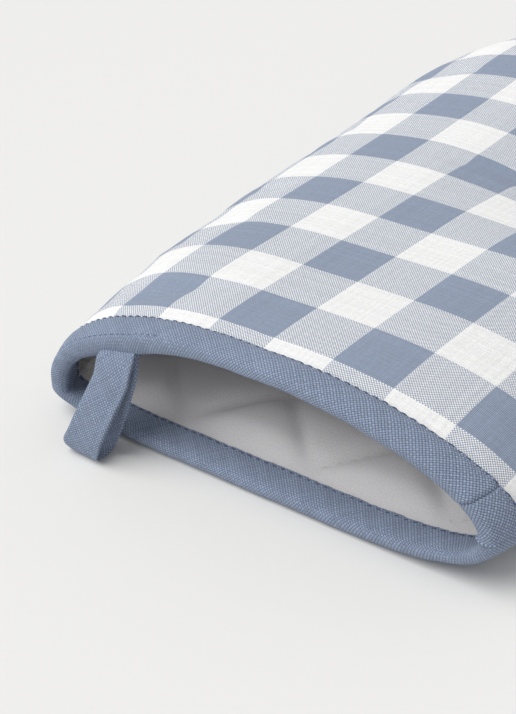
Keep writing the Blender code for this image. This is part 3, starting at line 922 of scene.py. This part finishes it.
def binding_layout():
    """The finished skin of the binding, with its unrolled lengths along and across."""
    turns = binding_turns()
    skin = binding_skin(turns)
    middle = skin[:, skin.shape[1] // 3]
    steps = np.linalg.norm(np.diff(middle, axis=0), axis=1)
    reached = np.concatenate(([0], np.cumsum(steps)))
    widths = np.cumsum(np.linalg.norm(np.diff(skin, axis=1), axis=2), axis=1)
    widths = np.concatenate((np.zeros((len(turns), 1)), widths), axis=1)
    normals = grid_normals(skin)
    skin = skin + normals * binding_relief(turns, reached, widths)[..., None]
    return skin, normals, reached, widths


def swept(rings, closed):
    """A surface through rings of points: one ring of edges, extruded from place to place."""
    bm = bmesh.new()
    verts = [bm.verts.new(p) for p in rings[0]]
    edges = [bm.edges.new((a, b)) for a, b in zip(verts, verts[1:] + verts[:1])]
    first = edges
    for ring in rings[1:]:
        made = bmesh.ops.extrude_edge_only(bm, edges=edges)["geom"]
        edges = [item for item in made if isinstance(item, bmesh.types.BMEdge)]
        verts = [item for item in made if isinstance(item, bmesh.types.BMVert)]
        for vertex, place in zip(verts, ring):
            vertex.co = place
    if closed:
        bmesh.ops.bridge_loops(bm, edges=first + edges)
    else:
        for loop in (first, edges):
            bmesh.ops.contextual_create(bm, geom=loop)
    return bm


def sweep_uv(mesh, ring_count, along, across, closed):
    """Unrolls a swept surface: along its rings and across its section, both in metres."""
    size = len(across[0])
    layer = mesh.uv_layers.new(name="flat")
    lap = along[-1] + (along[-1] - along[-2])
    for face in mesh.polygons:
        rings = [v // size for v in face.vertices]
        wraps = closed and 0 in rings and ring_count - 1 in rings
        slots = [v % size for v in face.vertices]
        round_it = 0 in slots and size - 1 in slots
        for loop, ring, spot in zip(face.loop_indices, rings, slots):
            u = lap if wraps and ring == 0 else along[ring]
            v = across[ring][spot]
            if round_it and spot == 0:
                v = across[ring][-1] + 1.0 * MM
            layer.data[loop].uv = (u, v)


def cuff_binding(bias):
    """The bias strip folded over the raw edges: its skin, and the fold back against the layers."""
    skin, _, reached, widths = binding_layout()
    turns = binding_turns()
    back_fold = (sizes().binding_width - 1 * MM, 5 * MM, -0.4 * MM)
    lining_side, shell_side = grown(HOLLOW, -0.35 * MM), grown(OUTSIDE, 0.2 * MM)
    fold = [mouth_row(turns, y, lining_side) for y in back_fold]
    fold += [mouth_row(turns, y, shell_side) for y in reversed(back_fold)]
    rings = np.concatenate((skin, np.stack(fold, axis=1)), axis=1)
    rings[..., 2] = np.maximum(rings[..., 2], TABLE_GAP)
    spare = np.cumsum(np.linalg.norm(np.diff(rings[:, skin.shape[1] - 1:], axis=1), axis=2), axis=1)
    across = np.concatenate((widths, widths[:, -1:] + spare), axis=1)
    bm = swept(rings, closed=True)
    piece = keep("cuff_binding_cloth", bm, bias, recalculate=True)
    sweep_uv(piece.data, len(rings), reached, across, closed=True)
    return piece


def stitch_shape(sides, rows):
    """One stitch: a slim bead along X, sunk at both ends."""
    bm = bmesh.new()
    bmesh.ops.create_uvsphere(bm, u_segments=sides, v_segments=rows, radius=1)
    bmesh.ops.rotate(bm, matrix=Matrix.Rotation(math.pi / 2, 3, "Y"), verts=bm.verts)
    for vertex in bm.verts:
        vertex.co.z -= 0.9 * vertex.co.x**2
    mesh = bpy.data.meshes.new("stitch")
    bm.to_mesh(mesh)
    bm.free()
    return mesh


def stitch_row(name, thread, stitches, radius, sides=8, rows=6):
    """Many stitches as one piece; each is (middle, way along, way out, length) in plan values."""
    shape = stitch_shape(sides, rows)
    count = len(shape.vertices)
    bm = bmesh.new()
    for middle, along, out, length in stitches:
        along = Vector(along).normalized()
        out = (Vector(out) - along * Vector(out).dot(along)).normalized()
        side = out.cross(along)
        turn = Matrix((along * length / 2, side * radius, out * radius)).transposed().to_4x4()
        bm.from_mesh(shape)
        bm.verts.ensure_lookup_table()
        bmesh.ops.transform(bm, matrix=Matrix.Translation(middle) @ turn, verts=bm.verts[-count:])
    bpy.data.meshes.remove(shape)
    return keep(name, bm, thread)


def along_points(points, outs, pitch, share, sink):
    """Stitches every pitch along a path, each filling a share of it and sunk by sink."""
    steps = np.linalg.norm(np.diff(points, axis=0), axis=1)
    reached = np.concatenate(([0], np.cumsum(steps)))
    count = int(reached[-1] // pitch)
    read = lambda at, values: np.stack([np.interp(at, reached, values[:, k]) for k in range(3)])
    made = []
    for i in range(count):
        at = (i + 0.5) * pitch
        ahead = read(at + pitch / 4, points) - read(at - pitch / 4, points)
        out = read(at, outs)
        out = out / np.linalg.norm(out)
        middle = read(at, points) - out * sink
        made.append((Vector(middle), Vector(ahead), Vector(out), share * pitch))
    return made


def row_on_binding(distance, from_rear_outside):
    """Path and outward ways of a stitch line on the binding, at a distance from one rear edge."""
    skin, normals, _, widths = binding_layout()
    wanted = widths if from_rear_outside else widths[:, -1:] - widths
    pick = np.abs(wanted - distance).argmin(1)
    rows = np.arange(len(skin))
    return skin[rows, pick], normals[rows, pick]


def quilting_stitches(name, side, thread):
    """Short stitches along the quilting lines, lying in the lining's valleys."""
    stitches = []
    for across, distance in quilt_lines():
        along = np.array((-across[1], across[0]))
        spots = across * distance + along * np.arange(-0.35, 0.35, QUILT_STITCH_PITCH)[:, None]
        depth, _, _ = from_seam(spots)
        spots = spots[(depth > HOLLOW[0] + 3 * MM) & (spots[:, 1] > 13 * MM)]
        if not len(spots):
            continue
        ahead = spots + along * MM
        here = surface(spots, side, HOLLOW) - side * lining_lift(spots)
        there = surface(ahead, side, HOLLOW) - side * lining_lift(ahead)
        for (x, y), z, z2 in zip(spots, here, there):
            way = Vector((along[0], along[1], (z2 - z) / MM))
            stitches.append((Vector((x, y, z - side * 0.1 * MM)), way, (0, 0, -side), 2.7 * MM))
    return stitch_row(name, thread, stitches, QUILTING_THREAD, 6, 4)


def seam_stitches(name, inset, thread):
    """The stitches that join two panels, along the seam between their edges."""
    path = SEAM[SEAM[:, 1] > 0]
    _, inwards, _ = from_seam(path)
    path = path + inwards * inset
    points = np.column_stack((path, seam_height(*path.T)))
    outs = np.tile((0.0, 0.0, 1.0), (len(points), 1))
    stitches = along_points(points, outs, SEAM_STITCH_PITCH, 0.86, 0.0)
    return stitch_row(name, thread, stitches, SEAM_THREAD, 6, 4)


# ---------------------------------------------------------------- hanging loop


def loop_line():
    """The loop's middle line from under the binding round the tip and back, evenly dense."""
    controls = np.array(LOOP_LINE) * MM
    return curve_through(len(controls), LOOP_STATIONS) @ controls


def loop_frame():
    """The middle line in plan values with, at each point, the ways across the strip and out."""
    line = loop_line()
    along = np.gradient(line, axis=0)
    along /= np.linalg.norm(along, axis=1, keepdims=True)
    count = len(line)
    share = np.linspace(0, 1, count)
    under = fade(line[:, 0], -1.5 * MM, 2.5 * MM)
    x = SWING.x + LOOP_LEAN * np.minimum(line[:, 1], 0)
    middle = np.stack((x, SWING.y + line[:, 0], SWING.z + line[:, 1]), 1)
    across = np.stack((np.ones(count), np.zeros(count), LOOP_ROLL * under), 1)
    across /= np.linalg.norm(across, axis=1, keepdims=True)
    way = np.stack((np.zeros(count), along[:, 0], along[:, 1]), 1)
    out = np.cross(way, across)
    out /= np.linalg.norm(out, axis=1, keepdims=True)
    return middle, across, -out, share


def loop_section():
    """The folded strip's section as (place across from -1 to 1, height): two layers, open at +1."""
    upper = [(-1.0, 0.12), (-0.985, 0.55), (-0.93, 0.86), (-0.8, 0.98), (-0.45, 1.0), (0.0, 1.0),
             (0.4, 0.98), (0.58, 0.93), (0.66, 0.74), (0.74, 0.95), (0.86, 1.0), (0.96, 0.88),
             (1.0, 0.55), (0.985, 0.2)]
    lower = [(a + 0.012 * (a > 0.9), -h) for a, h in reversed(upper)]
    return np.array(upper + [(0.9, 0.0)] + lower)


def hanging_loop(bias):
    """The folded strip that hangs from the underside of the binding."""
    size = sizes()
    middle, across, out, share = loop_frame()
    section = loop_section()
    rings = np.zeros((len(middle), len(section), 3))
    tip = np.exp(-(((share - 0.5) / 0.06) ** 2))
    for i in range(len(middle)):
        reach = size.loop_width / 2 * (1 + 0.025 * ripple(share[i] * 17, 1.0))
        crush = 1 - 0.25 * tip[i]
        for k, (a, h) in enumerate(section):
            swell = 1 + 0.25 * ripple(share[i] * 26, a * 1.7, 3.0)
            swell += 0.12 * ripple(share[i] * 60, a, 7.0)
            lift = size.loop_thickness / 2 * h * swell * crush
            place = middle[i] + across[i] * a * reach + out[i] * lift
            rings[i, k] = place
            rings[i, k, 2] += 2.6 * MM * max(-a - 0.1, 0) ** 1.5 * tip[i]
            rings[i, k, 1] += 0.6 * MM * ripple(share[i] * 9, a * 0.8, 5.0)
    rings[..., 2] = np.maximum(rings[..., 2], TABLE_GAP)
    bm = swept(rings, closed=False)
    piece = keep("hanging_loop_cloth", bm, bias, recalculate=True)
    steps = np.linalg.norm(np.diff(middle, axis=0), axis=1)
    along = np.concatenate(([0], np.cumsum(steps)))
    widths = np.cumsum(np.linalg.norm(np.diff(rings, axis=1), axis=2), axis=1)
    widths = np.concatenate((np.zeros((len(rings), 1)), widths), axis=1)
    sweep_uv(piece.data, len(rings), along, widths, closed=False)
    return piece


def loop_edge_stitches(thread):
    """A row of small stitches down the front leg, near the open edge."""
    middle, across, out, share = loop_frame()
    size = sizes()
    path = middle + across * (0.66 * size.loop_width / 2) + out * (0.40 * size.loop_thickness)
    keep_from = (share > 0.12) & (share < 0.46)
    stitches = along_points(path[keep_from], out[keep_from], 2.7 * MM, 0.8, 0.0)
    return stitch_row("loop_edge_stitches", thread, stitches, LOOP_THREAD)


def bend_loop(piece):
    """Bakes a piece's transform into its mesh."""
    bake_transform(piece)


def tack_stitches(thread):
    """The row across the front of the binding that holds the loop's ends under it."""
    skin, normals, _, widths = binding_layout()
    turns = binding_turns() % (2 * math.pi)
    chosen = (turns > TACK_TURNS[0]) & (turns < TACK_TURNS[1])
    pick = np.abs(widths - 0.36 * widths[:, -1:]).argmin(1)
    rows = np.flatnonzero(chosen)
    path, outs = skin[rows, pick[rows]], normals[rows, pick[rows]]
    stitches = along_points(path, outs, TACK_PITCH, 0.8, 0.05 * MM)
    return stitch_row("loop_tack_stitches", thread, stitches, TACK_THREAD)


# ---------------------------------------------------------------- operators


def on_mitt(piece, slot, *nodes):
    """Fixes a piece to the mitt's body in place of the CAD nodes that it shows."""
    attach(piece, "mitt")
    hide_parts(*nodes)
    return piece


SIDES = (("back", BACK), ("palm", PALM))


class MITT_OT_shell(bpy.types.Operator):
    """Make the two gingham panels, filled like a cushion"""

    bl_idname = "mitt.shell"
    bl_label = "Gingham shell"

    def execute(self, context):
        cotton = gingham()
        for name, side in SIDES:
            piece = shell_panel(f"{name}_gingham_panel", side, cotton)
            on_mitt(piece, "gingham_cotton", f"{name}_shell")
            as_sheet(piece)
        return {"FINISHED"}


class MITT_OT_wadding(bpy.types.Operator):
    """Make the fibre pads between shell and lining"""

    bl_idname = "mitt.wadding"
    bl_label = "Wadding"

    def execute(self, context):
        stuff = spun("wadding_fibre", colours().fibre, grain=700.0)
        for name, side in SIDES:
            piece = wadding_pad(f"{name}_wadding_pad", side, stuff)
            on_mitt(piece, "wadding", f"{name}_wadding")
        return {"FINISHED"}


class MITT_OT_lining(bpy.types.Operator):
    """Make the quilted lining panels and the stitches in their valleys"""

    bl_idname = "mitt.lining"
    bl_label = "Quilted lining"

    def execute(self, context):
        thread = spun("ecru_sewing_cotton", colours().ecru)
        cotton = brushed_cotton()
        for name, side in SIDES:
            piece = lining_panel(f"{name}_quilted_lining", side, cotton)
            on_mitt(piece, "lining_cotton", f"{name}_lining")
            as_sheet(piece)
            stitches = quilting_stitches(f"{name}_quilting_stitches", side, thread)
            on_mitt(stitches, "white_thread", f"{name}_quilting_thread")
        return {"FINISHED"}


class MITT_OT_seams(bpy.types.Operator):
    """Sew the shell's and the lining's seams"""

    bl_idname = "mitt.seams"
    bl_label = "Seams"

    def execute(self, context):
        thread = spun("ecru_sewing_cotton", colours().ecru)
        for name, inset in (("shell_seam", 1.3 * MM), ("lining_seam", 5.2 * MM)):
            piece = seam_stitches(f"{name}_stitches", inset, thread)
            on_mitt(piece, "white_thread", f"{name}_thread")
        return {"FINISHED"}


class MITT_OT_binding(bpy.types.Operator):
    """Fold the bias binding over the cuff and stitch it down"""

    bl_idname = "mitt.binding"
    bl_label = "Binding"

    def execute(self, context):
        thread = spun("navy_sewing_cotton", colours().navy)
        piece = cuff_binding(bias_cotton())
        on_mitt(piece, "slate_binding", "cuff_binding")
        for name, distance, outer, node in (
            ("binding_top_stitches", 0.9 * MM, True, "binding_topstitch"),
            ("binding_inner_stitches", 1.3 * MM, False, "binding_inner_stitch"),
        ):
            path, outs = row_on_binding(distance, outer)
            stitches = along_points(path, outs, sizes().stitch, 0.75, 0.0)
            on_mitt(stitch_row(name, thread, stitches, BINDING_THREAD), "navy_thread", node)
        return {"FINISHED"}


class MITT_OT_loop(bpy.types.Operator):
    """Hang the folded loop under the binding with its stitches"""

    bl_idname = "mitt.loop"
    bl_label = "Hanging loop"

    def execute(self, context):
        thread = spun("navy_sewing_cotton", colours().navy)
        cotton = bpy.data.materials.get("woven_bias_cotton") or bias_cotton()
        strip = hanging_loop(cotton)
        edge = loop_edge_stitches(thread)
        for piece, slot, node in ((strip, "slate_binding", "hanging_loop"),
                                  (edge, "navy_thread", "loop_edge_stitch")):
            bend_loop(piece)
            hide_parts(node)
        on_mitt(tack_stitches(thread), "navy_thread", "loop_tack_stitch")
        return {"FINISHED"}


def window_light(name, way, softness, strength):
    """An even soft light that comes from a direction."""
    light = bpy.data.lights.new(name, "SUN")
    light.angle = softness
    light.energy = strength
    lamp = bpy.data.objects.new(name, light)
    bpy.context.scene.collection.objects.link(lamp)
    lamp.rotation_euler = (-Vector(way)).to_track_quat("-Z", "Y").to_euler()


class MITT_OT_stage(bpy.types.Operator):
    """Set the pale floor, the soft studio light and the camera"""

    bl_idname = "mitt.stage"
    bl_label = "Stage"

    def execute(self, context):
        bm = bmesh.new()
        bmesh.ops.create_grid(bm, x_segments=2, y_segments=2, size=FLOOR_REACH)
        floor = keep("floor", bm, table_top())

        scene = context.scene
        scene.view_settings.view_transform = "Standard"
        scene.world = bpy.data.worlds.new("studio")
        scene.world.use_nodes = True
        background = scene.world.node_tree.nodes["Background"]
        background.inputs["Color"].default_value = (1.0, 1.0, 1.0, 1)
        background.inputs["Strength"].default_value = SKY_STRENGTH
        window_light("key", KEY_FROM, KEY_ANGLE, KEY_STRENGTH)

        camera = bpy.data.cameras.new("camera")
        camera.lens = CAMERA_LENS
        camera.sensor_width = 36
        view = bpy.data.objects.new("camera", camera)
        scene.collection.objects.link(view)
        view.location = CAMERA_PLACE
        view.rotation_euler = [math.radians(a) for a in CAMERA_TURN]
        scene.camera = view
        return {"FINISHED"}


class MITT_PT_panel(bpy.types.Panel):
    """Steps that sew the mitt, with its sizes and dyes"""

    bl_idname = "MITT_PT_panel"
    bl_label = "Oven mitt"
    bl_space_type = "VIEW_3D"
    bl_region_type = "UI"
    bl_category = "Mitt"

    def draw(self, context):
        for group in (context.scene.mitt_sizes, context.scene.mitt_colours):
            box = self.layout.box()
            for name in group.bl_rna.properties.keys():
                if name not in ("rna_type", "name"):
                    box.prop(group, name)
        for step in STEPS:
            self.layout.operator(step.bl_idname)


STEPS = (MITT_OT_shell, MITT_OT_wadding, MITT_OT_lining, MITT_OT_seams, MITT_OT_binding,
         MITT_OT_loop, MITT_OT_stage)
CLASSES = (MittSizes, MittColours, *STEPS, MITT_PT_panel)


def register():
    for kind in CLASSES:
        bpy.utils.register_class(kind)
    bpy.types.Scene.mitt_sizes = PointerProperty(type=MittSizes)
    bpy.types.Scene.mitt_colours = PointerProperty(type=MittColours)


def unregister():
    del bpy.types.Scene.mitt_colours
    del bpy.types.Scene.mitt_sizes
    for kind in reversed(CLASSES):
        bpy.utils.unregister_class(kind)


def main():
    register()
    bpy.ops.mitt.shell()
    bpy.ops.mitt.wadding()
    bpy.ops.mitt.lining()
    bpy.ops.mitt.seams()
    bpy.ops.mitt.binding()
    bpy.ops.mitt.loop()
    bpy.ops.mitt.stage()


if __name__ == "__main__":
    main()
